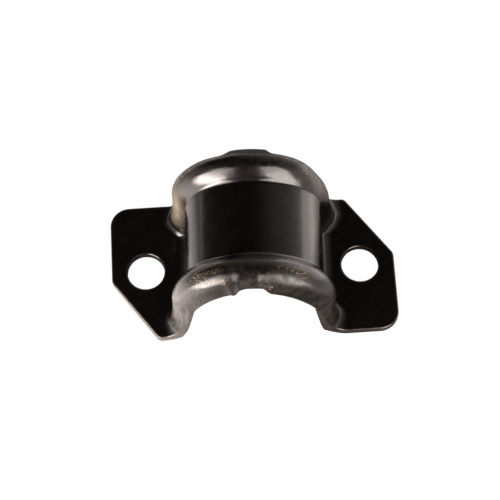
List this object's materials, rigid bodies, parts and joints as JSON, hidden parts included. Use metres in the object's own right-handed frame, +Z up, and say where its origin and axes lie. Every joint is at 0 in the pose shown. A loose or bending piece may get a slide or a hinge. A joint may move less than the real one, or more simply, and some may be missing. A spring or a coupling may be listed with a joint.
{
  "type": "sway bar bushing bracket",
  "caption": "Stamped steel strap with beaded mouths and two bolted ears, which clamps a rubber bushing on a vehicle's sway bar.",
  "frame": {"origin": "centre of the part's footprint, on the plane of the ears' undersides", "axes": "+X from ear to ear, +Y along the bushing's bore, +Z up from the ears towards the crown of the arch"},
  "size_m": [0.0852, 0.0434, 0.0436],
  "materials": {
    "black_paint": "glossy black dip coat over stamped steel, worn to bare metal and rust flecks on the crests and cut edges"
  },
  "bodies": {
    "root": {"bushing_bracket": "black_paint"}
  },
  "joints": []
}
